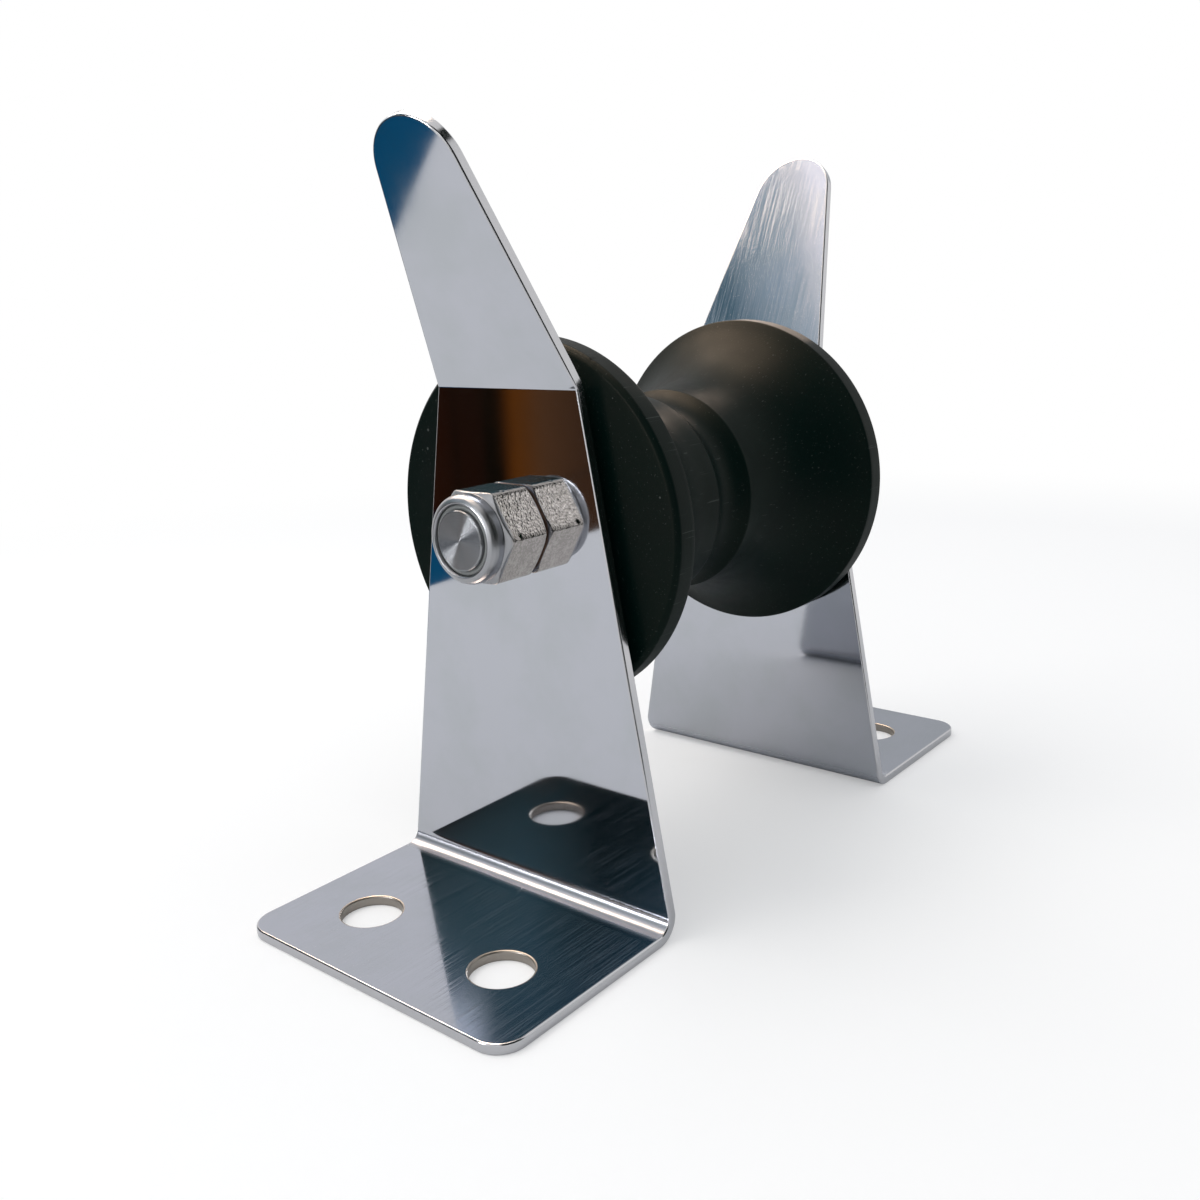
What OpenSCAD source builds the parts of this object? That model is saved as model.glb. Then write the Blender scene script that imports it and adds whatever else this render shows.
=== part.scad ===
// Bow roller: two bent steel brackets, a through axle and a waisted roller that turns on it.
// Millimetres. The feet stand on z = 0, the axle lies along Y and X runs fore and aft.

/* [Roller] */
// Outside diameter of the roller at its rims
roller_d = 100; // [80:1:120]
// Length of the roller along the axle
roller_l = 110; // [90:1:140]
// Width of the straight rim at each end
rim_w = 6; // [3:0.5:10]
// Chamfer between the rim and the end face
rim_chamfer = 1.2; // [0.5:0.1:2]
// Diameter of the waist on each side of the groove
waist_d = 62; // [50:1:70]
// Width of the waist, from the foot of one flare to the other
waist_w = 26; // [20:1:40]
// Width of the rope groove in the middle of the waist
groove_w = 16.4; // [10:0.2:18]
// Depth of the rope groove below the waist
groove_depth = 3.4; // [1:0.1:5]

/* [Axle] */
// Height of the axle above the feet
axle_h = 107; // [90:1:125]
// Diameter of the axle where the roller runs
axle_d = 20; // [18:0.5:26]
// Nominal diameter of the threaded ends
thread_d = 16; // [12:1:17]
// Radial running gap between the axle and the bushes
run_gap = 0.05; // [0.02:0.01:0.1]
// Free play between the roller and each washer
end_play = 0.5; // [0.3:0.1:1]
// How far the axle stands out of each nut
axle_proud = 0.2; // [0.1:0.1:3]

/* [Bushes and washers] */
// Wall of each bush
bush_wall = 3; // [2:0.5:5]
// Length of each bush
bush_l = 25; // [12:1:35]
// Radial gap between the axle and the roller's bore behind the bushes
bore_relief = 1; // [0.5:0.1:2]
// Outside diameter of each washer
washer_d = 30; // [28:1:40]
// Thickness of each washer
washer_t = 3; // [2:0.1:5]

/* [Brackets] */
// Thickness of the bracket plate
plate_t = 3; // [2:0.1:5]
// Width of the foot and of the foot of the web
base_w = 98; // [80:1:120]
// Width of the bracket where the horn folds outward
neck_w = 50; // [40:1:70]
// Height of the fold above the feet
fold_h = 144; // [130:1:175]
// Angle of the horn away from upright
horn_lean = 25.5; // [10:0.5:40]
// Distance from the fold to the centre of the rounded tip
horn_l = 57; // [40:1:80]
// Radius of the rounded tip
tip_r = 14; // [10:0.5:18]
// Length of the foot, from the outer face of the web
foot_l = 64; // [56:1:90]
// Radius of the foot's outer corners
corner_r = 8; // [2:0.5:12]
// Inside radius of the bend between web and foot
bend_r = 4; // [1:0.5:6]
// Inside radius of the fold below the horn
fold_r = 1.5; // [0.5:0.5:4]

/* [Fixings] */
// Diameter of the bolt holes in the feet
bolt_hole_d = 17; // [9:0.5:18]
// Distance between the two bolt holes of a foot
bolt_pitch = 50; // [36:1:58]
// Distance from the outer face of the web to the bolt holes
bolt_offset = 39; // [30:1:45]
// Height of each lock nut with its collar
nut_h = 19.6; // [16:0.1:24]
// Height of the six sided part of the lock nut
hex_h = 14; // [10:0.1:15]
// Radial gap around the threaded end in the web and in the nut
thread_gap = 0.1; // [0.05:0.05:0.5]

/* [Hidden] */
$fn = 96;
far = 400;
axle_r = axle_d / 2;
thread_r = thread_d / 2;
bush_out = axle_r + run_gap + bush_wall;
roller_r = roller_d / 2;
waist_r = waist_d / 2;
// the web stands outside the roller, its end play and the washer
web_in = roller_l / 2 + end_play + washer_t;
web_out = web_in + plate_t;
axle_end = web_out + nut_h + axle_proud;
// each flare is an arc that leaves the waist level and ends at the rim
flare_run = roller_l / 2 - rim_chamfer - rim_w - waist_w / 2;
flare_rise = roller_r - waist_r;
flare_r = (flare_run * flare_run + flare_rise * flare_rise) / (2 * flare_rise);
groove_r = (groove_w * groove_w / 4 + groove_depth * groove_depth) / (2 * groove_depth);
// the fold takes this much of the web and of the horn
fold_set = fold_r * tan(horn_lean / 2);
// the horn's straight sides touch the round tip here
side_dx = neck_w / 2;
side_dy = fold_set - horn_l;
side_angle = atan2(side_dy, side_dx) + acos(tip_r / sqrt(side_dx * side_dx + side_dy * side_dy));
tip_x = tip_r * cos(side_angle);
tip_y = horn_l + tip_r * sin(side_angle);
nut_af = 1.5 * thread_d;
nut_r = nut_af / sqrt(3);
nut_face = 0.475 * nut_af;
nut_slope = tan(30);
collar_r = 0.478 * nut_af;
collar_round = 0.09 * nut_af;
insert_r = thread_r + 0.11 * thread_d;
insert_floor = hex_h + 0.2 * (nut_h - hex_h);
insert_top = nut_h - 0.03 * nut_af;

// turns a shape drawn round Z so that it lies round the axle, with Z pointing outward
module on_axle(side) {
    translate([0, 0, axle_h]) rotate([side > 0 ? -90 : 90, 0, 0]) children();
}

module on_side(side) {
    if (side > 0) children();
    if (side < 0) mirror([0, 1, 0]) children();
}

// the half section of the roller: radius along x, length along y
module roller_section() {
    difference() {
        polygon([[axle_r + bore_relief, -roller_l / 2], [roller_r - rim_chamfer, -roller_l / 2],
                 [roller_r, -roller_l / 2 + rim_chamfer], [roller_r, roller_l / 2 - rim_chamfer],
                 [roller_r - rim_chamfer, roller_l / 2], [axle_r + bore_relief, roller_l / 2]]);
        for (side = [-1, 1]) {
            translate([waist_r + flare_r, side * waist_w / 2]) circle(r = flare_r);
            translate([0, side * (roller_l / 2 - bush_l / 2)])
                square([2 * bush_out, bush_l], center = true);
        }
        translate([waist_r, -waist_w / 2]) square([flare_rise + 1, waist_w]);
        translate([waist_r - groove_depth + groove_r, 0]) circle(r = groove_r);
    }
}

module roller() {
    color([0.09, 0.1, 0.1])
        translate([0, 0, axle_h]) rotate([-90, 0, 0]) rotate_extrude() roller_section();
}

module bush(side) {
    color([0.86, 0.85, 0.8]) on_axle(side) translate([0, 0, roller_l / 2 - bush_l])
        difference() {
            cylinder(r = bush_out, h = bush_l);
            translate([0, 0, -1]) cylinder(r = axle_r + run_gap, h = bush_l + 2);
        }
}

// a thick journal between the washers with a thinner end through each web and nut
module axle() {
    edge = 0.35;
    journal = web_in - washer_t;
    color([0.75, 0.76, 0.78])
        translate([0, 0, axle_h]) rotate([-90, 0, 0]) rotate_extrude()
            polygon([[0, -axle_end], [thread_r - edge, -axle_end], [thread_r, -axle_end + edge],
                     [thread_r, -journal], [axle_r, -journal], [axle_r, journal],
                     [thread_r, journal], [thread_r, axle_end - edge],
                     [thread_r - edge, axle_end], [0, axle_end]]);
}

module washer(side) {
    color([0.72, 0.73, 0.75]) on_axle(side) translate([0, 0, web_in - washer_t])
        difference() {
            cylinder(r = washer_d / 2, h = washer_t);
            translate([0, 0, -1]) cylinder(r = thread_r + 5 * thread_gap, h = washer_t + 2);
        }
}

// six sides cut back at the corners, then a round collar that holds the insert
module nut(side) {
    cut_low = (nut_r - nut_face) * nut_slope;
    cut_high = (nut_r - collar_r) * nut_slope;
    color([0.78, 0.79, 0.8]) on_axle(side) translate([0, 0, web_out])
        difference() {
            union() {
                intersection() {
                    linear_extrude(height = hex_h + 0.8) circle(r = nut_r, $fn = 6);
                    rotate_extrude()
                        polygon([[0, 0], [nut_face, 0], [nut_r, cut_low],
                                 [nut_r, hex_h + 0.8 - cut_high], [collar_r, hex_h + 0.8],
                                 [0, hex_h + 0.8]]);
                }
                rotate_extrude() {
                    translate([0, hex_h]) square([collar_r, nut_h - collar_round - hex_h]);
                    translate([0, hex_h]) square([collar_r - collar_round, nut_h - hex_h]);
                    translate([collar_r - collar_round, nut_h - collar_round])
                        circle(r = collar_round);
                }
            }
            translate([0, 0, -1]) cylinder(r = thread_r + thread_gap, h = nut_h + 2);
            translate([0, 0, insert_floor]) cylinder(r = insert_r, h = nut_h);
        }
}

module insert(side) {
    color([0.6, 0.62, 0.62]) on_axle(side) translate([0, 0, web_out + insert_floor])
        difference() {
            cylinder(r = insert_r, h = insert_top - insert_floor);
            translate([0, 0, -1]) cylinder(r = thread_r + 0.2 * thread_gap, h = nut_h);
        }
}

module foot() {
    start = web_out + bend_r;
    end = web_out + foot_l;
    linear_extrude(height = plate_t) difference() {
        union() {
            translate([-base_w / 2, start]) square([base_w, end - corner_r - start]);
            translate([-base_w / 2 + corner_r, start])
                square([base_w - 2 * corner_r, end - start]);
            for (x = [-1, 1])
                translate([x * (base_w / 2 - corner_r), end - corner_r]) circle(r = corner_r);
        }
        for (x = [-1, 1])
            translate([x * bolt_pitch / 2, web_out + bolt_offset]) circle(d = bolt_hole_d);
    }
}

// a quarter turn of plate from the foot up into the web
module bend() {
    translate([0, web_out + bend_r, plate_t + bend_r]) rotate([0, 90, 0])
        linear_extrude(height = base_w, center = true) intersection() {
            difference() {
                circle(r = bend_r + plate_t);
                circle(r = bend_r);
            }
            translate([0, -far]) square([far, far]);
        }
}

// the web narrows in a straight line from the bend to the fold
module web() {
    low = plate_t + bend_r;
    high = fold_h - fold_set;
    translate([0, web_out, 0]) rotate([90, 0, 0]) linear_extrude(height = plate_t)
        difference() {
            polygon([[-base_w / 2, low], [base_w / 2, low], [neck_w / 2, high],
                     [-neck_w / 2, high]]);
            translate([0, axle_h]) circle(r = thread_r + thread_gap);
        }
}

// the small arc of plate between web and horn
module fold() {
    translate([0, web_out + fold_r, fold_h - fold_set]) rotate([0, 90, 0])
        linear_extrude(height = neck_w, center = true) intersection() {
            difference() {
                circle(r = fold_r + plate_t);
                circle(r = fold_r);
            }
            polygon([[0, 0], [0, -far], [-far * sin(horn_lean), -far * cos(horn_lean)]]);
        }
}

module horn() {
    translate([0, web_out, fold_h]) rotate([-horn_lean, 0, 0]) rotate([90, 0, 0])
        linear_extrude(height = plate_t) union() {
            polygon([[-neck_w / 2, fold_set], [neck_w / 2, fold_set], [tip_x, tip_y],
                     [-tip_x, tip_y]]);
            translate([0, horn_l]) circle(r = tip_r);
        }
}

module bracket(side) {
    color([0.75, 0.76, 0.78]) on_side(side) union() {
        foot();
        bend();
        web();
        fold();
        horn();
    }
}

bracket(-1);  // starboard_bracket
bracket(1);  // port_bracket
roller();
bush(-1);  // starboard_bush
bush(1);  // port_bush
axle();
washer(-1);  // starboard_washer
washer(1);  // port_washer
nut(-1);  // starboard_nut
nut(1);  // port_nut
insert(-1);  // starboard_insert
insert(1);  // port_insert
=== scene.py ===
import bpy
import math
import numpy as np
from functools import partial
from mathutils import Matrix, Vector


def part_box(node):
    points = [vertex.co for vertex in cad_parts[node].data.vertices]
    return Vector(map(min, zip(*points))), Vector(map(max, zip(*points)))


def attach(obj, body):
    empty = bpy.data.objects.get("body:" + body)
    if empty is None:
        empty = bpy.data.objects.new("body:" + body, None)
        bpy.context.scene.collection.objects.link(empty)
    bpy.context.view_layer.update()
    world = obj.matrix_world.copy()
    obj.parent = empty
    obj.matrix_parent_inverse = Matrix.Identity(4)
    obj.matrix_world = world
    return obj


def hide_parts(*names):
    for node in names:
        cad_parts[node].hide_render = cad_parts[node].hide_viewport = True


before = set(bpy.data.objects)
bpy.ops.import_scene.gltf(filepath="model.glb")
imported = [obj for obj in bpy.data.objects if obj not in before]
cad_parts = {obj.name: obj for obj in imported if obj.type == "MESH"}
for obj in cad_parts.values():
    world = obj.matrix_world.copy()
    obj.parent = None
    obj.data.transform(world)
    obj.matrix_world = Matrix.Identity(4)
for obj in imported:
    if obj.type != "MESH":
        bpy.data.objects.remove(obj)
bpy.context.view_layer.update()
mm = 0.001
# each side's sign along y and its word in names
hands = ((-1, "starboard"), (1, "port"))

# places taken from the frame, in metres
rollerLow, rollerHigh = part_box("roller")
axleHeight = (rollerLow.z + rollerHigh.z) / 2
rollerRadius = (rollerHigh.z - rollerLow.z) / 2
rollerHalf = rollerHigh.y
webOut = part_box("port_nut")[0].y
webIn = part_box("port_washer")[1].y
plateThick = webOut - webIn
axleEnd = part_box("axle")[1].y
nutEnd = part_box("port_nut")[1].y
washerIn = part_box("port_washer")[0].y
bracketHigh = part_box("port_bracket")[1]
bushLow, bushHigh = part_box("port_bush")


# tools shared by all pieces
def hexColour(code):
    # sRGB hex to linear red, green, blue, alpha
    channels = [int(code[i:i + 2], 16) / 255 for i in (1, 3, 5)]
    linear = [c / 12.92 if c <= 0.04045 else ((c + 0.055) / 1.055) ** 2.4 for c in channels]
    return (*linear, 1.0)


def addNode(tree, kind, links=None, **settings):
    # one node with its settings; a link is another node, meaning the first output it has in use,
    # one of its other sockets, a plain value or a colour's hex code
    node = tree.nodes.new("ShaderNode" + kind)
    for key, value in settings.items():
        setattr(node, key, value)
    for key, value in (links or {}).items():
        if isinstance(value, bpy.types.Node):
            value = next(socket for socket in value.outputs if socket.enabled)
        if isinstance(value, bpy.types.NodeSocket):
            tree.links.new(value, node.inputs[key])
        else:
            node.inputs[key].default_value = hexColour(value) if isinstance(value, str) else value
    return node


def newMaterial(name):
    # an empty material, and addNode made ready for its tree
    material = bpy.data.materials.new(name)
    material.use_nodes = True
    material.node_tree.nodes.clear()
    return material, partial(addNode, material.node_tree)


def finished(material, surface):
    # the material with this shader as its surface
    addNode(material.node_tree, "OutputMaterial", {"Surface": surface})
    return material


def setRamp(node, stops):
    # stops are (position, colour) pairs; the ramp starts with two
    elements = node.color_ramp.elements
    while len(elements) < len(stops):
        elements.new(0.5)
    for element, (position, colour) in zip(elements, stops):
        element.position = position
        element.color = colour


def unit(vectors):
    # the same directions at length 1; a zero vector stays zero
    length = np.linalg.norm(vectors, axis=-1, keepdims=True)
    return vectors / np.where(length > 0, length, 1)


def evenAngles(sides):
    return np.linspace(0, 2 * np.pi, sides, endpoint=False)


def spread(*parts):
    # x, y and z, each given along the rows, along the columns or over both, as one grid of points
    return np.stack(np.broadcast_arrays(*parts), -1)


def patch(points, normals, uv, closeRows=False, closeCols=False, slot=0, brushing=None):
    # a grid of surface points, rows by columns, with the outward normal, the surface place and
    # the wear at each; a closed grid joins its last row or column to its first
    if brushing is None:
        brushing = np.zeros(points.shape[:2])
    return dict(points=points, normals=normals, uv=uv, closeRows=closeRows, closeCols=closeCols,
                slot=slot, brushing=brushing)


def buildPiece(name, patches, materials, body, nodes):
    # joins grids of points into one mesh: equal points are merged, quads that
    # shrink to a triangle lose the double corner, and every face is turned to its normals
    quads, slots, start = [], [], 0
    for p in patches:
        rows, cols = p["points"].shape[:2]
        i = np.arange(rows if p["closeRows"] else rows - 1)
        j = np.arange(cols if p["closeCols"] else cols - 1)
        i, j = np.meshgrid(i, j, indexing="ij")
        i2, j2 = (i + 1) % rows, (j + 1) % cols
        quad = np.stack([i * cols + j, i2 * cols + j, i2 * cols + j2, i * cols + j2], -1).reshape(-1, 4)
        quads.append(quad + start)
        slots.append(np.full(len(quad), p["slot"]))
        start += rows * cols
    points, normals, uvs, brushing = (
        np.concatenate([p[key].reshape(-1, width) for p in patches])
        for key, width in (("points", 3), ("normals", 3), ("uv", 2), ("brushing", 1)))
    quads, slots = np.concatenate(quads), np.concatenate(slots)
    side1 = points[quads[:, 2]] - points[quads[:, 0]]
    side2 = points[quads[:, 3]] - points[quads[:, 1]]
    turned = np.einsum("ij,ij->i", np.cross(side1, side2), normals[quads].sum(1)) < 0
    quads[turned] = quads[turned][:, ::-1]
    cornerUv = uvs[quads]
    # a face across the seam of a turned surface carries its turn on past 1
    cornerUv[..., 0] += cornerUv[..., 0].max(1, keepdims=True) - cornerUv[..., 0] > 0.5
    mergeWithin = 1e-4 * mm
    _, first, inverse = np.unique(np.round(points / mergeWithin).astype(np.int64), axis=0,
                                  return_index=True, return_inverse=True)
    quads = inverse.reshape(-1)[quads]
    keep = quads != np.roll(quads, 1, axis=1)
    whole = keep.sum(1) >= 3
    keep, corners = keep[whole], keep[whole].sum(1)
    loops = quads[whole][keep]
    mesh = bpy.data.meshes.new(name)
    mesh.vertices.add(len(first))
    mesh.vertices.foreach_set("co", points[first].astype(np.float32).ravel())
    mesh.loops.add(len(loops))
    mesh.loops.foreach_set("vertex_index", loops.astype(np.int32))
    mesh.polygons.add(len(corners))
    mesh.polygons.foreach_set("loop_start", (np.cumsum(corners) - corners).astype(np.int32))
    mesh.update(calc_edges=True)
    layer = mesh.uv_layers.new(name="surface")
    layer.data.foreach_set("uv", cornerUv[whole][keep].astype(np.float32).ravel())
    worn = mesh.attributes.new("brushing", "FLOAT", "POINT")
    worn.data.foreach_set("value", brushing[first].astype(np.float32).ravel())
    mesh.polygons.foreach_set("material_index", slots[whole].astype(np.int32))
    mesh.polygons.foreach_set("use_smooth", np.ones(len(corners), bool))
    mesh.normals_split_custom_set_from_vertices(unit(normals[first]).tolist())
    mesh.update()
    for material in materials:
        mesh.materials.append(material)
    piece = bpy.data.objects.new(name, mesh)
    bpy.context.scene.collection.objects.link(piece)
    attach(piece, body)
    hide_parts(*nodes)
    print("made", name, len(mesh.vertices), "points", len(corners), "faces")


def softOutline(corners, blur, step, turn, closed=False):
    # walks the outline in fine equal steps, blurs it with a bell curve of width `blur` so that
    # each corner becomes a small round, then keeps a station after each `step` of length
    # or `turn` of direction, whichever fills first
    corners = np.asarray(corners, float)
    if closed:
        corners = np.vstack([corners, corners[:1]])
    length = np.r_[0, np.cumsum(np.hypot(*np.diff(corners, axis=0).T))]
    perBlur = 6
    fine = blur / perBlur
    count = int(length[-1] / fine)
    along = np.linspace(0, length[-1], count, endpoint=not closed)
    line = np.stack([np.interp(along, length, corners[:, k]) for k in (0, 1)], 1)
    reach = 4 * perBlur
    weights = np.exp(-0.5 * (np.arange(-reach, reach + 1) / perBlur) ** 2)
    weights /= weights.sum()
    if closed:
        wide = np.vstack([line[-reach:], line, line[:reach]])
    else:
        # an open outline is carried on past its ends by its own point reflection
        wide = np.vstack([2 * line[0] - line[reach:0:-1], line, 2 * line[-1] - line[-2:-reach - 2:-1]])
    soft = np.stack([np.convolve(wide[:, k], weights, "valid") for k in (0, 1)], 1)
    if closed:
        ahead = np.roll(soft, -1, 0) - np.roll(soft, 1, 0)
    else:
        ahead = np.gradient(soft, axis=0)
    ahead = unit(ahead)
    angle = np.unwrap(np.arctan2(ahead[:, 1], ahead[:, 0]))
    spent = np.hypot(*np.diff(soft, axis=0).T) / step + np.abs(np.diff(angle)) / turn
    travelled = np.r_[0, np.cumsum(spent)]
    stations = int(np.ceil(travelled[-1])) + (0 if closed else 1)
    wanted = np.linspace(0, travelled[-1], stations, endpoint=not closed)

    def pick(values):
        return np.interp(wanted, travelled, values)

    spots = np.stack([pick(soft[:, 0]), pick(soft[:, 1])], 1)
    facing = unit(np.stack([pick(ahead[:, 1]), -pick(ahead[:, 0])], 1))
    return spots, facing, pick(np.linspace(0, length[-1], len(soft)))


def turnedPatch(outline, facing, along, angles, slot=0, closed=False):
    # a lathe surface round the axle: outline holds (radius, y), and for an angle a
    # x = radius cos a, z = axle height + radius sin a
    angle = angles[:, None]
    radius, y = outline[None, :, 0], outline[None, :, 1]
    points = spread(radius * np.cos(angle), y, axleHeight + radius * np.sin(angle))
    normals = spread(facing[None, :, 0] * np.cos(angle), facing[None, :, 1],
                     facing[None, :, 0] * np.sin(angle))
    uv = spread(angle / (2 * np.pi), along[None, :])
    return patch(points, normals, uv, closeRows=True, closeCols=closed, slot=slot)


def arcPoints(centre, radius, start, end, count):
    # circle: centre + radius (cos a, sin a), angles in degrees
    a = np.radians(np.linspace(start, end, count))
    return np.stack([centre[0] + radius * np.cos(a), centre[1] + radius * np.sin(a)], 1)


# materials
def mirrorStainless():
    # stainless steel plate, brushed along its length and then buffed to a mirror: sharp
    # reflections, drawn out across the plate where the brushing was left in the foot and horn
    look = dict(colour="#babcc3", smudge="#b5b8bd", streak="#b0b3bb", mirror=0.03, brushed=0.42,
                haze=0.33, brushPitch=0.34 * mm, brushLength=30 * mm, smear=22 * mm, wave=45 * mm)
    material, add = newMaterial("mirrorPolishedStainless")
    uv = add("UVMap", uv_map="surface")
    place = add("TexCoord").outputs["Object"]
    brushing = add("Attribute", attribute_name="brushing").outputs["Fac"]
    lengthwise = add("Mapping", {
        "Vector": uv, "Scale": (1 / look["brushPitch"], 1 / look["brushLength"], 1)})
    brush = add("TexNoise", {"Vector": lengthwise, "Scale": 1.0, "Detail": 5.0, "Roughness": 0.7})
    smear = add("TexNoise", {
        "Vector": place, "Scale": 1 / look["smear"], "Detail": 4.0, "Roughness": 0.6})
    streaks = add("MapRange", {"Value": brush, "From Min": 0.44, "From Max": 0.62, "To Min": 0.05})
    streaked = add("Math", {0: brushing, 1: 0.0}, operation="MAXIMUM")
    amount = add("Math", {0: streaked, 1: streaks}, operation="MULTIPLY")
    hazy = add("Math", {0: brushing, 1: 0.0}, operation="MINIMUM")
    clean = add("MapRange", {
        "Value": smear, "From Min": 0.3, "From Max": 0.8, "To Min": look["mirror"], "To Max": 0.07})
    base = add("Math", {0: hazy, 1: -look["haze"], 2: clean}, operation="MULTIPLY_ADD")
    rough = add("Math", {0: amount, 1: look["brushed"], 2: base}, operation="MULTIPLY_ADD")
    smudge = add("MapRange", {"Value": smear, "From Min": 0.42, "From Max": 0.66})
    polish = add("Mix", {"Factor": smudge, "A": look["colour"], "B": look["smudge"]}, data_type="RGBA")
    tint = add("Mix", {"Factor": amount, "A": polish, "B": look["streak"]}, data_type="RGBA")
    ripple = add("TexNoise", {"Vector": place, "Scale": 1 / look["wave"], "Detail": 1.0})
    waves = add("Bump", {"Distance": 0.03 * mm, "Height": ripple})
    grain = add("Bump", {"Strength": amount, "Distance": 0.0025 * mm, "Height": brush, "Normal": waves})
    across = add("Tangent", direction_type="UV_MAP", uv_map="surface")
    shader = add("BsdfPrincipled", {
        "Base Color": tint, "Metallic": 1.0, "Roughness": rough, "Anisotropic": 0.75, "Tangent": across,
        "Normal": grain})
    return finished(material, shader)


def cutEdgeStainless(name, colour, roughness):
    # the cut and linished edge of the same plate, and its drilled holes: soft reflections,
    # broken by fine marks
    pitch = 0.5 * mm
    material, add = newMaterial(name)
    place = add("TexCoord").outputs["Object"]
    marks = add("TexNoise", {"Vector": place, "Scale": 1 / pitch, "Detail": 3.0})
    rough = add("MapRange", {
        "Value": marks, "From Min": 0.3, "From Max": 0.7, "To Min": roughness[0],
        "To Max": roughness[1]})
    bump = add("Bump", {"Strength": 0.2, "Distance": 0.002 * mm, "Height": marks})
    shader = add("BsdfPrincipled", {
        "Base Color": colour, "Metallic": 1.0, "Roughness": rough, "Normal": bump})
    return finished(material, shader)


def formedStainless():
    # cold formed stainless lock nut: flats pitted like cast metal with dirt in the pits, and a
    # smoother silky collar, given a darker grey than the flats as painted shade; the pits are drawn
    # coarser than the real ones
    look = dict(colour="#dcd4ca", rolled="#9c9da0", dirt="#c6beb4", grime="#85582c", collar=0.3,
                flat=0.13, pit=0.7 * mm, dent=3.0 * mm, lines=0.35 * mm)
    material, add = newMaterial("coldFormedStainless")
    place = add("TexCoord").outputs["Object"]
    flats = add("Attribute", attribute_name="brushing").outputs["Fac"]
    pits = add("TexVoronoi", {
        "Vector": place, "Scale": 1 / look["pit"], "Smoothness": 0.35}, feature="SMOOTH_F1")
    dents = add("TexNoise", {
        "Vector": place, "Scale": 1 / look["dent"], "Detail": 5.0, "Roughness": 0.6})
    relief = add("Math", {0: dents, 1: 1.6, 2: pits}, operation="MULTIPLY_ADD")
    rough = add("MapRange", {
        "Value": flats, "From Min": 0.1, "From Max": 0.9, "To Min": look["collar"],
        "To Max": look["flat"]})
    # fine lines round the collar, left by the rolling
    uv = add("UVMap", uv_map="surface")
    around = add("Mapping", {"Vector": uv, "Scale": (6.0, 1 / look["lines"], 1)})
    lines = add("TexNoise", {"Vector": around, "Scale": 1.0})
    rolled = add("Bump", {"Strength": 0.5, "Distance": 0.035 * mm, "Height": lines})
    hollow = add("MapRange", {"Value": relief, "From Min": 1.05, "From Max": 1.45})
    dirty = add("Math", {0: hollow, 1: flats}, operation="MULTIPLY")
    # the collar's darker grey is painted shade on the same steel, toning down what it reflects
    body = add("Mix", {"Factor": flats, "A": look["rolled"], "B": look["colour"]}, data_type="RGBA")
    tint = add("Mix", {"Factor": dirty, "A": body, "B": look["dirt"]}, data_type="RGBA")
    # brown grime gathers where the seat meets the plate, marked by a value below nought
    seat = add("MapRange", {"Value": flats, "From Max": -1.0, "To Max": 0.85})
    tint = add("Mix", {"Factor": seat, "A": tint, "B": look["grime"]}, data_type="RGBA")
    bare = add("Math", {0: 1.0, 1: seat}, operation="SUBTRACT")
    low = add("Bump", {"Strength": 0.5, "Distance": 0.1 * mm, "Height": dents, "Normal": rolled})
    high = add("Bump", {
        "Strength": flats, "Distance": 0.07 * mm, "Height": relief, "Normal": low}, invert=True)
    shader = add("BsdfPrincipled", {
        "Base Color": tint, "Metallic": bare, "Roughness": rough, "Normal": high})
    return finished(material, shader)


# a wave texture of this scale draws one ring in each metre
oneRing = 0.314


def turnedStainless():
    # turned stainless bar: rings left by the tool throw light out as bright wedges
    look = dict(colour="#939598", roughness=0.27, ring=0.7 * mm)
    material, add = newMaterial("turnedStainless")
    uv = add("UVMap", uv_map="surface")
    rings = add("TexWave", {
        "Vector": uv, "Scale": oneRing / look["ring"], "Distortion": 0.6,
        "Detail Scale": 3.0}, bands_direction="Y")
    bump = add("Bump", {"Strength": 0.3, "Distance": 0.015 * mm, "Height": rings.outputs["Fac"]})
    tangent = add("Tangent", direction_type="UV_MAP", uv_map="surface")
    shader = add("BsdfPrincipled", {
        "Base Color": look["colour"], "Metallic": 1.0, "Roughness": look["roughness"],
        "Anisotropic": 1.0, "Anisotropic Rotation": 0.25, "Tangent": tangent, "Normal": bump})
    return finished(material, shader)


def plainStainless():
    # stamped stainless washer: dull tumbled metal
    look = dict(colour="#bfc0c2", mark=0.8 * mm, roughness=(0.2, 0.4))
    material, add = newMaterial("tumbledStainless")
    place = add("TexCoord").outputs["Object"]
    marks = add("TexNoise", {"Vector": place, "Scale": 1 / look["mark"], "Detail": 4.0})
    rough = add("MapRange", {
        "Value": marks, "To Min": look["roughness"][0], "To Max": look["roughness"][1]})
    bump = add("Bump", {"Strength": 0.4, "Distance": 0.02 * mm, "Height": marks})
    shader = add("BsdfPrincipled", {
        "Base Color": look["colour"], "Metallic": 1.0, "Roughness": rough, "Normal": bump})
    return finished(material, shader)


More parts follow.
